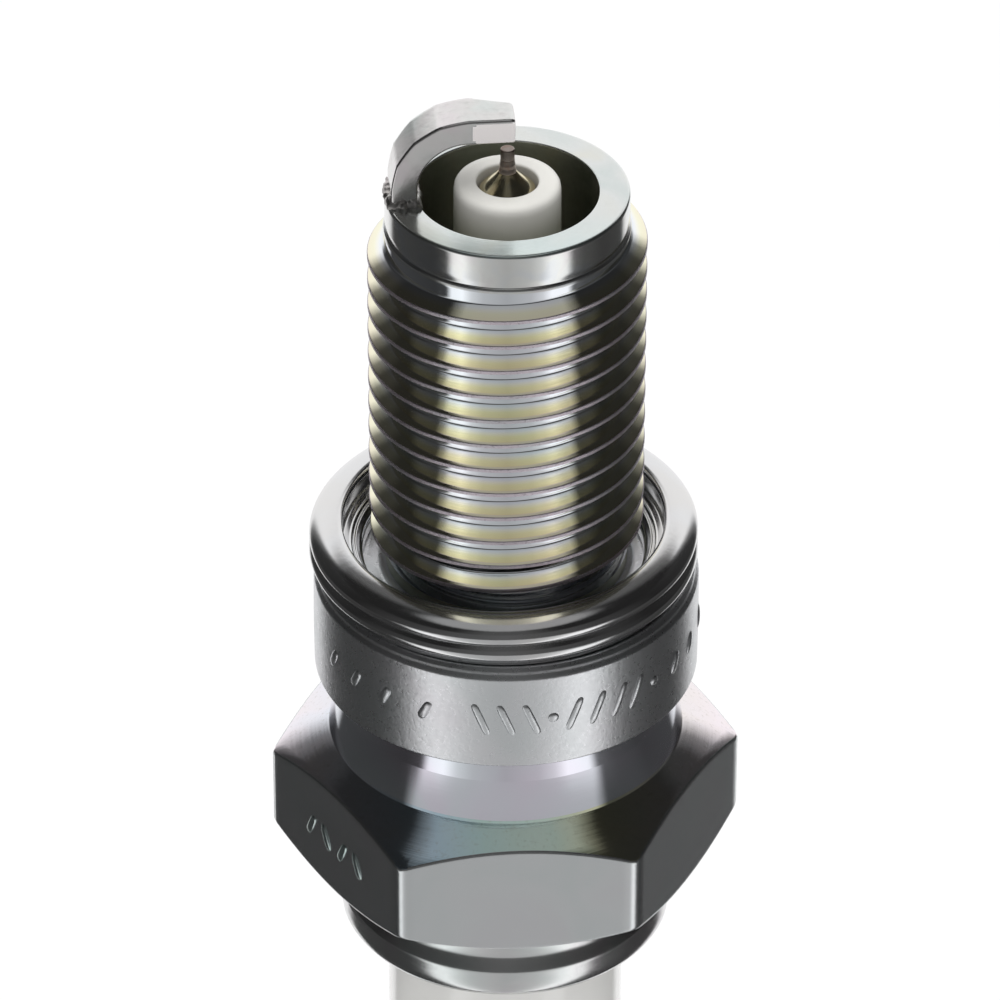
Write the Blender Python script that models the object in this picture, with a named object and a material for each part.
"""A spark plug with a 12 mm thread, built piece by piece around one turned axis.

The origin is the centre of the shell's gasket seat. +Z runs along the plug's axis
towards the firing end, and one pair of the hexagon's flats faces -Y and +Y.
Lengths are in metres, angles in radians.
"""
import bpy
import bmesh
from math import ceil, cos, pi, radians, sin, tan, tau

MM = 0.001

# Facets around the large turned pieces and around the thin ones.
SEGMENTS = 36
THIN_SEGMENTS = 24
WELD = 1e-7

# How far the guide for the hexagon's flats reaches past the hexagon at each end.
GUIDE_MARGIN = 0.3 * MM

# Clearances between pieces that sit in or on each other.
FIT = 0.05 * MM
RUNNING_FIT = 0.1 * MM

# Shell: thread, firing end and the neck under the gasket.
THREAD_R = 5.95 * MM
THREAD_PITCH = 1.25 * MM
REACH = 19.0 * MM
PILOT_R = 5.2 * MM
PILOT_LENGTH = 1.8 * MM
RIM_CHAMFER = 0.12 * MM
NECK_LENGTH = 2.5 * MM
NOSE_BORE_R = 3.88 * MM

# ISO metric thread form, as shares of the pitch.
THREAD_DEPTH_SHARE = 0.5413
ROOT_FLAT_SHARE = 1 / 4
CREST_FLAT_SHARE = 1 / 8
THREAD_FADE_TURNS = 0.6

# Shell: seat collar, waist, hexagon and rolled rear lip.
SEAT_FACE_R = 8.05 * MM
COLLAR_R = 8.4 * MM
COLLAR_CHAMFER = 0.5 * MM
COLLAR_END_Z = -5.0 * MM
COLLAR_UNDERCUT = 0.15 * MM
WAIST_R = 7.45 * MM
WAIST_FILLET = 0.3 * MM
HEX_START_Z = -8.4 * MM
HEX_END_Z = -14.8 * MM
HEX_ACROSS_FLATS = 18.0 * MM
HEX_CORNER_CUT = 0.08 * MM
HEX_CHAMFER = radians(30)
HEX_FOOT_INSET = 0.4 * MM
SLEEVE_R = 7.35 * MM
SLEEVE_GROOVE_DEPTH = 0.35 * MM
LIP_THICKNESS = 0.8 * MM
LIP_ROUND = 0.7 * MM

# Bore of the shell behind the nose: ledge, body bore and the wide flange chamber.
LEDGE_R = 3.35 * MM
LEDGE_FRONT_Z = 7.6 * MM
LEDGE_LENGTH = 1.4 * MM
BODY_BORE_R = 4.15 * MM
CHAMBER_R = 6.1 * MM
CHAMBER_FRONT_Z = -2.2 * MM

# Insulator.
NOSE_TIP_R = 2.27 * MM
NOSE_ROOT_R = 3.05 * MM
NOSE_EXPOSED = 0.5 * MM
NOSE_EDGE_ROUND = 0.3 * MM
NOSE_HOLE_R = 1.31 * MM
FLANGE_REAR_Z = -13.6 * MM
HEAD_R = 5.25 * MM
HEAD_END_Z = -43.5 * MM
HEAD_END_R = 3.7 * MM
RIB_COUNT = 5
RIB_PITCH = 2.2 * MM
RIB_DEPTH = 0.6 * MM
RIB_POINTS = 4
LAST_RIB_GAP = 1.9 * MM
CORE_BORE_R = 1.95 * MM
CORE_BORE_FRONT_Z = 3.0 * MM
CORE_STEP = 0.45 * MM

# Packing between the shell and the insulator.
WASHER_THICKNESS = 0.3 * MM
TALC_LENGTH = 1.9 * MM

# Centre electrode, its firing tip and what follows it down the insulator's bore.
ELECTRODE_R = 1.18 * MM
ELECTRODE_SHOWN = 0.15 * MM
ELECTRODE_NECK_R = 0.38 * MM
ELECTRODE_CONE_LENGTH = 0.82 * MM
ELECTRODE_HEAD_R = 1.7 * MM
ELECTRODE_HEAD_LENGTH = 1.3 * MM
COPPER_R = 0.6 * MM
COPPER_FRONT_GAP = 2.2 * MM
WELD_COLLAR_LENGTH = 0.6 * MM
TIP_R = 0.3 * MM
TIP_LENGTH = 0.5 * MM
LOWER_SEAL_LENGTH = 3.6 * MM
RESISTOR_LENGTH = 8.0 * MM
UPPER_SEAL_LENGTH = 4.2 * MM
SEAL_LAP = 1.1 * MM
STEM_LAP = 3.0 * MM

# Ground electrode: a bent bar welded to the rim.
BAR_THICKNESS = 1.12 * MM
BAR_WIDTH = 2.04 * MM
BAR_TIP_WIDTH = 1.42 * MM
BAR_TAPER_LENGTH = 1.8 * MM
BAR_BEND_R = 2.75 * MM
BAR_BEND_STEPS = 6
BAR_EDGE = 0.18 * MM
BAR_PAST_AXIS = 0.25 * MM
SPARK_GAP = 0.9 * MM
BAR_TURN = radians(181.65)

# Terminal stud and nut.
STEM_R = 1.25 * MM
STEM_GRIP_R = 1.6 * MM
STEM_GRIP_LENGTH = 5.0 * MM
STUD_R = 2.0 * MM
STUD_PITCH = 0.7 * MM
STUD_FLANGE_R = 2.9 * MM
STUD_FLANGE_THICKNESS = 0.8 * MM
STUD_NECK = 0.7 * MM
STUD_POINT = 0.4 * MM
STUD_RECESS = 0.6 * MM
NUT_R = 3.175 * MM
NUT_NECK_R = 2.6 * MM
NUT_LENGTH = 8.6 * MM
NUT_FOOT = 1.0 * MM
NUT_NECK_LENGTH = 1.5 * MM
NUT_CHAMFER = 0.45 * MM

# Captive gasket: a folded steel ring, loose on the shell's neck.
GASKET_R = 8.5 * MM
GASKET_HOLE_R = 5.75 * MM
GASKET_MOUTH_R = 7.05 * MM
GASKET_HEIGHT = 2.2 * MM
GASKET_ROUND = 0.75 * MM
GASKET_CHAMFER = 0.2 * MM
GASKET_LIP = 0.6 * MM

# Heights and radii that follow from the ones above.
THREAD_ROOT_R = THREAD_R - THREAD_PITCH * THREAD_DEPTH_SHARE
HEX_CORNER_R = HEX_ACROSS_FLATS / 2 / cos(pi / 6)
HEX_TURNED_R = HEX_CORNER_R - HEX_CORNER_CUT
HEX_FOOT_R = HEX_ACROSS_FLATS / 2 - HEX_FOOT_INSET
NOSE_TIP_Z = REACH + NOSE_EXPOSED
LEDGE_REAR_Z = LEDGE_FRONT_Z - LEDGE_LENGTH
BODY_R = BODY_BORE_R - RUNNING_FIT
FLANGE_R = CHAMBER_R - RUNNING_FIT
SEAT_CONE = BODY_BORE_R - LEDGE_R
FLANGE_STEP = CHAMBER_R - BODY_BORE_R
PACKING_WIRE_R = (CHAMBER_R - HEAD_R) / 2 - FIT
PACKING_R = (CHAMBER_R + HEAD_R) / 2
SHOULDER_Z = FLANGE_REAR_Z - (FLANGE_R - HEAD_R)
LOWER_PACKING_Z = SHOULDER_Z - PACKING_WIRE_R - FIT
TALC_FRONT_Z = LOWER_PACKING_Z - PACKING_WIRE_R - FIT
TALC_REAR_Z = TALC_FRONT_Z - TALC_LENGTH
UPPER_PACKING_Z = TALC_REAR_Z - PACKING_WIRE_R - FIT
LIP_FRONT_Z = UPPER_PACKING_Z - PACKING_WIRE_R - FIT
SHELL_END_Z = LIP_FRONT_Z - LIP_THICKNESS
STUD_FLANGE_Z = HEAD_END_Z - FIT
NUT_FRONT_Z = STUD_FLANGE_Z - STUD_FLANGE_THICKNESS - FIT
NUT_REAR_Z = NUT_FRONT_Z - NUT_LENGTH
STUD_END_Z = NUT_REAR_Z + STUD_RECESS
CORE_FRONT_Z = CORE_BORE_FRONT_Z + CORE_STEP
CORE_SLOPE = CORE_STEP / (CORE_BORE_R - NOSE_HOLE_R)
CONE_FOOT_Z = REACH + ELECTRODE_SHOWN
NECK_Z = CONE_FOOT_Z + ELECTRODE_CONE_LENGTH
WELD_TOP_Z = NECK_Z + WELD_COLLAR_LENGTH
TIP_TOP_Z = WELD_TOP_Z + TIP_LENGTH
COPPER_FRONT_Z = CONE_FOOT_Z - COPPER_FRONT_GAP
HEAD_REAR_Z = CORE_BORE_FRONT_Z - ELECTRODE_HEAD_LENGTH
LOWER_SEAL_FRONT_Z = HEAD_REAR_Z + SEAL_LAP
LOWER_SEAL_REAR_Z = LOWER_SEAL_FRONT_Z - LOWER_SEAL_LENGTH
RESISTOR_FRONT_Z = LOWER_SEAL_REAR_Z - FIT
RESISTOR_REAR_Z = RESISTOR_FRONT_Z - RESISTOR_LENGTH
UPPER_SEAL_FRONT_Z = RESISTOR_REAR_Z - FIT
UPPER_SEAL_REAR_Z = UPPER_SEAL_FRONT_Z - UPPER_SEAL_LENGTH
STEM_TIP_Z = UPPER_SEAL_REAR_Z + STEM_LAP
CORE_FILL_R = CORE_BORE_R - FIT


def clear_scene():
    """Start from an empty scene."""
    for obj in list(bpy.data.objects):
        bpy.data.objects.remove(obj, do_unlink=True)


def finish(name, color, roughness, metallic):
    """A plain surface finish."""
    material = bpy.data.materials.new(name)
    material.use_nodes = True
    shader = material.node_tree.nodes["Principled BSDF"]
    shader.inputs["Base Color"].default_value = (*color, 1)
    shader.inputs["Roughness"].default_value = roughness
    shader.inputs["Metallic"].default_value = metallic
    return material


def place(name, bm, material, smooth=True):
    """Turn a finished bmesh into a named object with its faces pointing out."""
    bmesh.ops.recalc_face_normals(bm, faces=bm.faces)
    mesh = bpy.data.meshes.new(name)
    bm.to_mesh(mesh)
    bm.free()
    if smooth:
        mesh.shade_smooth()
        mesh.set_sharp_from_angle(angle=radians(35))
    mesh.materials.append(material)
    obj = bpy.data.objects.new(name, mesh)
    bpy.context.collection.objects.link(obj)
    return obj


def spin_outline(bm, outline, segments, closed=False):
    """Turn an outline of (radius, height) points once around the axis."""
    verts = [bm.verts.new((r, 0, z)) for r, z in outline]
    pairs = list(zip(verts, verts[1:]))
    if closed:
        pairs.append((verts[-1], verts[0]))
    edges = [bm.edges.new(pair) for pair in pairs]
    bmesh.ops.spin(
        bm, geom=verts + edges, axis=(0, 0, 1), cent=(0, 0, 0),
        steps=segments, angle=tau, use_merge=True,
    )


def turned(name, outline, segments, material, closed=False):
    """A turned piece: an open outline starts and ends on the axis, a closed one is a ring."""
    bm = bmesh.new()
    spin_outline(bm, outline, segments, closed)
    bmesh.ops.remove_doubles(bm, verts=bm.verts, dist=WELD)
    return place(name, bm, material)


def arc(r, z, radius, start, end, steps):
    """Points of an arc around (r, z), from one angle to another in degrees."""
    turns = [radians(start + (end - start) * i / steps) for i in range(steps + 1)]
    return [(r + radius * cos(t), z + radius * sin(t)) for t in turns]


def add_thread(bm, root_r, depth, pitch, low, high, segments):
    """A right-handed thread between two heights, with its ends faded into the root cylinder.

    Each row of points climbs one pitch per turn, so the last column of a row meets
    the first column of the same row one turn on. Heights beyond the ends are held at
    the ends, where the rows close up into plain rings.
    """
    crest_start = 1 - CREST_FLAT_SHARE - (1 - ROOT_FLAT_SHARE - CREST_FLAT_SHARE) / 2
    form = (
        (0, 0),
        (ROOT_FLAT_SHARE, 0),
        (crest_start, 1),
        (crest_start + CREST_FLAT_SHARE, 1),
    )
    turns = ceil((high - low) / pitch) + 1
    fade = pitch * THREAD_FADE_TURNS
    made = {}

    def point(row, column):
        turn, step = divmod(row, len(form))
        share, lift = form[step]
        z = low + (turn - 1 + share + column / segments) * pitch
        z = min(max(z, low), high)
        end_gap = min(z - low, high - z)
        r = root_r + depth * lift * min(end_gap / fade, 1)
        key = (column % segments, round(z / WELD), round(r / WELD))
        if key not in made:
            turn_angle = tau * column / segments
            made[key] = bm.verts.new((r * cos(turn_angle), r * sin(turn_angle), z))
        return made[key]

    for row in range((turns + 1) * len(form)):
        for column in range(segments):
            corners = (
                point(row, column),
                point(row, column + 1),
                point(row + 1, column + 1),
                point(row + 1, column),
            )
            corners = list(dict.fromkeys(corners))
            if len(corners) > 2:
                bm.faces.new(corners)


def hex_guide():
    """A thick tube with a hexagonal hole, which trims the turned hexagon to its six flats."""
    low = HEX_END_Z - GUIDE_MARGIN
    high = HEX_START_Z + GUIDE_MARGIN
    bm = bmesh.new()
    inside, outside = [
        [bm.verts.new((r * cos(tau * i / 6), r * sin(tau * i / 6), low)) for i in range(6)]
        for r in (HEX_CORNER_R, 2 * HEX_CORNER_R)
    ]
    base = []
    for i in range(6):
        after = (i + 1) % 6
        base.append(bm.faces.new((inside[i], inside[after], outside[after], outside[i])))
    grown = bmesh.ops.extrude_face_region(bm, geom=base)["geom"]
    top = [item for item in grown if isinstance(item, bmesh.types.BMVert)]
    bmesh.ops.translate(bm, verts=top, vec=(0, 0, high - low))
    guide = place("hex_guide", bm, finish("guide", (0.5, 0.5, 0.5), 0.5, 0), smooth=False)
    guide.hide_render = True
    guide.display_type = "WIRE"
    return guide


def metal_shell(material):
    """The steel shell: thread, collar, waist, hexagon and the lip rolled over the insulator."""
    thread_low = NECK_LENGTH
    thread_high = REACH - PILOT_LENGTH
    cone = (HEX_TURNED_R - WAIST_R) * tan(HEX_CHAMFER)
    foot = (HEX_TURNED_R - HEX_FOOT_R) * tan(HEX_CHAMFER)
    groove_mid = (HEX_END_Z + LIP_FRONT_Z) / 2
    bore = [
        (NOSE_BORE_R, REACH),
        (NOSE_BORE_R, LEDGE_FRONT_Z + NOSE_BORE_R - LEDGE_R),
        (LEDGE_R, LEDGE_FRONT_Z),
        (LEDGE_R, LEDGE_REAR_Z),
        (BODY_BORE_R, LEDGE_REAR_Z - SEAT_CONE),
        (BODY_BORE_R, CHAMBER_FRONT_Z),
        (CHAMBER_R, CHAMBER_FRONT_Z - FLANGE_STEP),
        (CHAMBER_R, LIP_FRONT_Z),
        (HEAD_R + RUNNING_FIT, LIP_FRONT_Z),
        (HEAD_R + RUNNING_FIT, SHELL_END_Z + RIM_CHAMFER),
    ]
    rear = [
        (HEAD_R + RUNNING_FIT + RIM_CHAMFER, SHELL_END_Z),
        *arc(SLEEVE_R - LIP_ROUND, SHELL_END_Z + LIP_ROUND, LIP_ROUND, -90, 0, 3),
        (SLEEVE_R, (groove_mid + LIP_FRONT_Z) / 2),
        (SLEEVE_R - SLEEVE_GROOVE_DEPTH, groove_mid),
        (SLEEVE_R, (groove_mid + HEX_END_Z) / 2),
        (SLEEVE_R, HEX_END_Z),
        (HEX_FOOT_R, HEX_END_Z),
        (HEX_TURNED_R, HEX_END_Z + foot),
        (HEX_TURNED_R, HEX_START_Z - cone),
    ]
    fillet_z = HEX_START_Z + WAIST_FILLET * (1 / cos(HEX_CHAMFER) - tan(HEX_CHAMFER))
    fillet = arc(WAIST_R + WAIST_FILLET, fillet_z, WAIST_FILLET, 240, 180, 3)
    collar = [
        (WAIST_R, COLLAR_END_Z - COLLAR_UNDERCUT),
        (COLLAR_R, COLLAR_END_Z),
        (COLLAR_R, -COLLAR_CHAMFER),
        (SEAT_FACE_R, 0),
        (THREAD_ROOT_R, 0),
        (THREAD_ROOT_R, thread_low),
    ]
    pilot = [
        (THREAD_ROOT_R, thread_high),
        (PILOT_R, thread_high + THREAD_ROOT_R - PILOT_R),
        (PILOT_R, REACH - RIM_CHAMFER),
        (PILOT_R - RIM_CHAMFER, REACH),
    ]
    bm = bmesh.new()
    spin_outline(bm, pilot + bore + rear + fillet + collar, SEGMENTS)
    add_thread(
        bm, THREAD_ROOT_R, THREAD_R - THREAD_ROOT_R, THREAD_PITCH,
        thread_low, thread_high, SEGMENTS,
    )
    bmesh.ops.remove_doubles(bm, verts=bm.verts, dist=WELD)
    shell = place("metal_shell", bm, material)
    cut = shell.modifiers.new("hexagon", "BOOLEAN")
    cut.operation = "DIFFERENCE"
    cut.solver = "EXACT"
    cut.object = hex_guide()
    return shell


def rib_outline():
    """The rounded grooves near the insulator's rear end, from the front one to the last."""
    points = []
    front = HEAD_END_Z + LAST_RIB_GAP + RIB_COUNT * RIB_PITCH
    for rib in range(RIB_COUNT):
        for step in range(RIB_POINTS):
            turn = step / RIB_POINTS
            depth = RIB_DEPTH * (1 - cos(tau * turn)) / 2
            points.append((HEAD_R - depth, front - (rib + turn) * RIB_PITCH))
    points.append((HEAD_R, front - RIB_COUNT * RIB_PITCH))
    return points


def washer_rise(thickness):
    """Height along the axis that a thickness square to the 45 degree seat cone takes."""
    return thickness / cos(pi / 4)


def seat_cone_z(r, depth):
    """Height at a radius of a cone lying a depth behind the shell's seat cone."""
    return LEDGE_REAR_Z + LEDGE_R - r - washer_rise(depth)


def insulator(material):
    """The ceramic insulator: nose, seat, body, flange, smooth head and ribs, bored through."""
    seat_depth = WASHER_THICKNESS + 2 * FIT
    end_round = HEAD_R - HEAD_END_R
    edge_r = NOSE_TIP_R - NOSE_EDGE_ROUND
    edge_z = NOSE_TIP_Z - NOSE_EDGE_ROUND
    nose = arc(edge_r, edge_z, NOSE_EDGE_ROUND, 90, 0, 3)
    outline = nose + [
        (NOSE_ROOT_R, LEDGE_REAR_Z + LEDGE_LENGTH / 2),
        (NOSE_ROOT_R, seat_cone_z(NOSE_ROOT_R, seat_depth)),
        (BODY_R, seat_cone_z(BODY_R, seat_depth)),
        (BODY_R, CHAMBER_FRONT_Z - RUNNING_FIT),
        (FLANGE_R, CHAMBER_FRONT_Z - RUNNING_FIT - FLANGE_STEP),
        (FLANGE_R, FLANGE_REAR_Z),
        (HEAD_R, SHOULDER_Z),
    ]
    outline += rib_outline()
    outline += arc(HEAD_END_R, HEAD_END_Z + end_round, end_round, 0, -90, 3)
    outline += [
        (CORE_BORE_R, HEAD_END_Z),
        (CORE_BORE_R, CORE_BORE_FRONT_Z),
        (NOSE_HOLE_R, CORE_FRONT_Z),
        (NOSE_HOLE_R, NOSE_TIP_Z),
    ]
    return turned("insulator", outline, SEGMENTS, material, closed=True)


def seat_packing_washer(material):
    """The thin conical washer between the shell's seat cone and the insulator's."""
    outline = [
        (LEDGE_R, seat_cone_z(LEDGE_R, FIT)),
        (BODY_R, seat_cone_z(BODY_R, FIT)),
        (BODY_R, seat_cone_z(BODY_R, FIT + WASHER_THICKNESS)),
        (LEDGE_R, seat_cone_z(LEDGE_R, FIT + WASHER_THICKNESS)),
    ]
    return turned("seat_packing_washer", outline, SEGMENTS, material, closed=True)


def packing_ring(name, z, material):
    """A round wire ring that fills the space between the insulator's head and the shell."""
    outline = arc(PACKING_R, z, PACKING_WIRE_R, 0, 360, 8)[:-1]
    return turned(name, outline, SEGMENTS, material, closed=True)


def talc_fill(material):
    """The pressed talc sleeve between the two packing rings."""
    outline = [
        (HEAD_R + FIT, TALC_FRONT_Z),
        (HEAD_R + FIT, TALC_REAR_Z),
        (CHAMBER_R - FIT, TALC_REAR_Z),
        (CHAMBER_R - FIT, TALC_FRONT_Z),
    ]
    return turned("talc_fill", outline, SEGMENTS, material, closed=True)


def core_cone_z(r):
    """Height at a radius of the step that narrows the insulator's bore to the nose hole."""
    return CORE_FRONT_Z - (r - NOSE_HOLE_R) * CORE_SLOPE


def center_electrode(material):
    """The nickel jacket: cone, shank and head, with a blind hole for the copper core."""
    outline = [
        (0, NECK_Z),
        (ELECTRODE_NECK_R, NECK_Z),
        (ELECTRODE_R, CONE_FOOT_Z),
        (ELECTRODE_R, core_cone_z(ELECTRODE_R) - 2 * FIT),
        (ELECTRODE_HEAD_R, core_cone_z(ELECTRODE_HEAD_R) - 2 * FIT),
        (ELECTRODE_HEAD_R, HEAD_REAR_Z),
        (COPPER_R + FIT, HEAD_REAR_Z),
        (COPPER_R + FIT, COPPER_FRONT_Z),
        (0, COPPER_FRONT_Z),
    ]
    return turned("center_electrode", outline, THIN_SEGMENTS, material)


def rod(name, radius, front_z, rear_z, material, rear_radius=None):
    """A plain turned rod between two heights, tapered when the rear radius differs."""
    rear_r = rear_radius or radius
    outline = [(0, front_z), (radius, front_z), (rear_r, rear_z), (0, rear_z)]
    return turned(name, outline, THIN_SEGMENTS, material)


def lower_glass_seal(material):
    """The conductive glass behind the centre electrode, cupped around its head."""
    floor_z = HEAD_REAR_Z - FIT
    cup_r = ELECTRODE_HEAD_R + FIT
    outline = [
        (0, floor_z),
        (cup_r, floor_z),
        (cup_r, LOWER_SEAL_FRONT_Z),
        (CORE_FILL_R, LOWER_SEAL_FRONT_Z),
        (CORE_FILL_R, LOWER_SEAL_REAR_Z),
        (0, LOWER_SEAL_REAR_Z),
    ]
    return turned("lower_glass_seal", outline, THIN_SEGMENTS, material)


def upper_glass_seal(material):
    """The conductive glass behind the resistor, cupped around the stem's gripped end."""
    floor_z = STEM_TIP_Z + FIT
    cup_r = STEM_GRIP_R + FIT
    outline = [
        (0, UPPER_SEAL_FRONT_Z),
        (CORE_FILL_R, UPPER_SEAL_FRONT_Z),
        (CORE_FILL_R, UPPER_SEAL_REAR_Z),
        (cup_r, UPPER_SEAL_REAR_Z),
        (cup_r, floor_z),
        (0, floor_z),
    ]
    return turned("upper_glass_seal", outline, THIN_SEGMENTS, material)


def terminal_stud(material):
    """The terminal's stem, the flange that rests on the insulator and the threaded stud."""
    root_r = STUD_R - STUD_PITCH * THREAD_DEPTH_SHARE
    flange_rear_z = STUD_FLANGE_Z - STUD_FLANGE_THICKNESS
    thread_high = flange_rear_z - STUD_NECK
    thread_low = STUD_END_Z + STUD_POINT
    grip_rear_z = STEM_TIP_Z - STEM_GRIP_LENGTH
    stem = [
        (0, STEM_TIP_Z),
        (STEM_GRIP_R, STEM_TIP_Z),
        (STEM_GRIP_R, grip_rear_z),
        (STEM_R, grip_rear_z - (STEM_GRIP_R - STEM_R)),
        (STEM_R, STUD_FLANGE_Z),
        (STUD_FLANGE_R, STUD_FLANGE_Z),
        (STUD_FLANGE_R, flange_rear_z),
        (root_r, flange_rear_z),
        (root_r, thread_high),
    ]
    point = [
        (root_r, thread_low),
        (root_r - STUD_POINT / 2, STUD_END_Z),
        (0, STUD_END_Z),
    ]
    bm = bmesh.new()
    spin_outline(bm, stem, THIN_SEGMENTS)
    spin_outline(bm, point, THIN_SEGMENTS)
    add_thread(
        bm, root_r, STUD_R - root_r, STUD_PITCH, thread_low, thread_high, THIN_SEGMENTS
    )
    bmesh.ops.remove_doubles(bm, verts=bm.verts, dist=WELD)
    return place("terminal_stud", bm, material)


def terminal_nut(material):
    """The removable terminal nut: foot, neck groove and barrel, open right through."""
    hole_r = STUD_R + RUNNING_FIT
    neck_front_z = NUT_FRONT_Z - NUT_FOOT
    neck_rear_z = neck_front_z - NUT_NECK_LENGTH
    step = NUT_R - NUT_NECK_R
    outline = [
        (hole_r, NUT_FRONT_Z),
        (NUT_R - NUT_CHAMFER / 2, NUT_FRONT_Z),
        (NUT_R, NUT_FRONT_Z - NUT_CHAMFER / 2),
        (NUT_R, neck_front_z),
        (NUT_NECK_R, neck_front_z - step / 2),
        (NUT_NECK_R, neck_rear_z),
        (NUT_R, neck_rear_z - step / 2),
        (NUT_R, NUT_REAR_Z + NUT_CHAMFER),
        (NUT_R - NUT_CHAMFER, NUT_REAR_Z),
        (hole_r, NUT_REAR_Z),
    ]
    return turned("terminal_nut", outline, SEGMENTS, material, closed=True)


def gasket(material):
    """The captive gasket: its inner lip is too narrow to pass the thread's crests."""
    foot_z = FIT
    top_z = foot_z + GASKET_HEIGHT
    round_r = GASKET_R - GASKET_ROUND
    outline = [
        (GASKET_HOLE_R, foot_z),
        *arc(round_r, foot_z + GASKET_ROUND, GASKET_ROUND, -90, 0, 3),
        *arc(round_r, top_z - GASKET_ROUND, GASKET_ROUND, 0, 90, 3),
        (GASKET_MOUTH_R + GASKET_CHAMFER, top_z),
        (GASKET_MOUTH_R, top_z - GASKET_CHAMFER),
        (GASKET_MOUTH_R, foot_z + GASKET_LIP),
        (GASKET_HOLE_R, foot_z + GASKET_LIP),
    ]
    return turned("gasket", outline, SEGMENTS, material, closed=True)


def bar_section(s, z, lean, width):
    """Corners of the bar's bevelled rectangle at one station of its bent centre line.

    s is the distance from the plug's axis, and lean is how far the centre line has
    turned from upright towards the axis.
    """
    half_t = BAR_THICKNESS / 2
    half_w = width / 2
    corners = [
        (half_t, half_w - BAR_EDGE),
        (half_t - BAR_EDGE, half_w),
        (BAR_EDGE - half_t, half_w),
        (-half_t, half_w - BAR_EDGE),
        (-half_t, BAR_EDGE - half_w),
        (BAR_EDGE - half_t, -half_w),
        (half_t - BAR_EDGE, -half_w),
        (half_t, BAR_EDGE - half_w),
    ]
    return [(s + out * cos(lean), side, z + out * sin(lean)) for out, side in corners]


def ground_electrode(material):
    """The bar that stands on the rim, bends over the firing tip and tapers to its end."""
    leg_s = NOSE_BORE_R + BAR_THICKNESS / 2
    arm_z = TIP_TOP_Z + SPARK_GAP + BAR_THICKNESS / 2
    bend_s = leg_s - BAR_BEND_R
    bend_z = arm_z - BAR_BEND_R
    sections = [bar_section(leg_s, REACH + FIT, 0, BAR_WIDTH)]
    for i in range(BAR_BEND_STEPS + 1):
        lean = pi / 2 * i / BAR_BEND_STEPS
        s = bend_s + BAR_BEND_R * cos(lean)
        z = bend_z + BAR_BEND_R * sin(lean)
        sections.append(bar_section(s, z, lean, BAR_WIDTH))
    taper_s = BAR_TAPER_LENGTH - BAR_PAST_AXIS
    sections.append(bar_section(taper_s, arm_z, pi / 2, BAR_WIDTH))
    sections.append(bar_section(-BAR_PAST_AXIS, arm_z, pi / 2, BAR_TIP_WIDTH))
    bm = bmesh.new()
    rings = [[bm.verts.new(corner) for corner in section] for section in sections]
    for near, far in zip(rings, rings[1:]):
        for i, corner in enumerate(near):
            after = (i + 1) % len(near)
            bm.faces.new((corner, near[after], far[after], far[i]))
    bm.faces.new(rings[0])
    bm.faces.new(rings[-1])
    bar = place("ground_electrode", bm, material)
    bar.rotation_euler.z = BAR_TURN
    return bar


def build():
    """Make every piece of the plug and hang each one on the body that carries it."""
    clear_scene()
    plated_steel = finish("plated_steel", (0.62, 0.63, 0.61), 0.3, 1)
    nickel = finish("nickel_alloy", (0.55, 0.53, 0.5), 0.35, 1)
    ceramic = finish("glazed_ceramic", (0.86, 0.85, 0.82), 0.25, 0)
    copper = finish("copper", (0.8, 0.42, 0.28), 0.35, 1)
    iridium = finish("iridium", (0.6, 0.58, 0.55), 0.25, 1)
    glass = finish("conductive_glass", (0.16, 0.2, 0.19), 0.3, 0)
    carbon = finish("resistor_glass", (0.05, 0.05, 0.055), 0.6, 0)
    talc = finish("talc", (0.85, 0.83, 0.78), 0.8, 0)
    soft_steel = finish("soft_steel", (0.5, 0.5, 0.5), 0.35, 1)

    metal_shell(plated_steel)
    insulator(ceramic)
    seat_packing_washer(soft_steel)
    packing_ring("lower_packing_ring", LOWER_PACKING_Z, soft_steel)
    talc_fill(talc)
    packing_ring("upper_packing_ring", UPPER_PACKING_Z, soft_steel)
    center_electrode(nickel)
    rod("electrode_core", COPPER_R, COPPER_FRONT_Z - FIT, HEAD_REAR_Z, copper)
    rod("tip_weld", TIP_R, WELD_TOP_Z - FIT, NECK_Z + FIT, nickel, ELECTRODE_NECK_R)
    rod("iridium_tip", TIP_R, TIP_TOP_Z, WELD_TOP_Z, iridium)
    ground_electrode(nickel)
    lower_glass_seal(glass)
    rod("resistor", CORE_FILL_R, RESISTOR_FRONT_Z, RESISTOR_REAR_Z, carbon)
    upper_glass_seal(glass)
    terminal_stud(nickel)
    terminal_nut(plated_steel)
    gasket(soft_steel)


build()
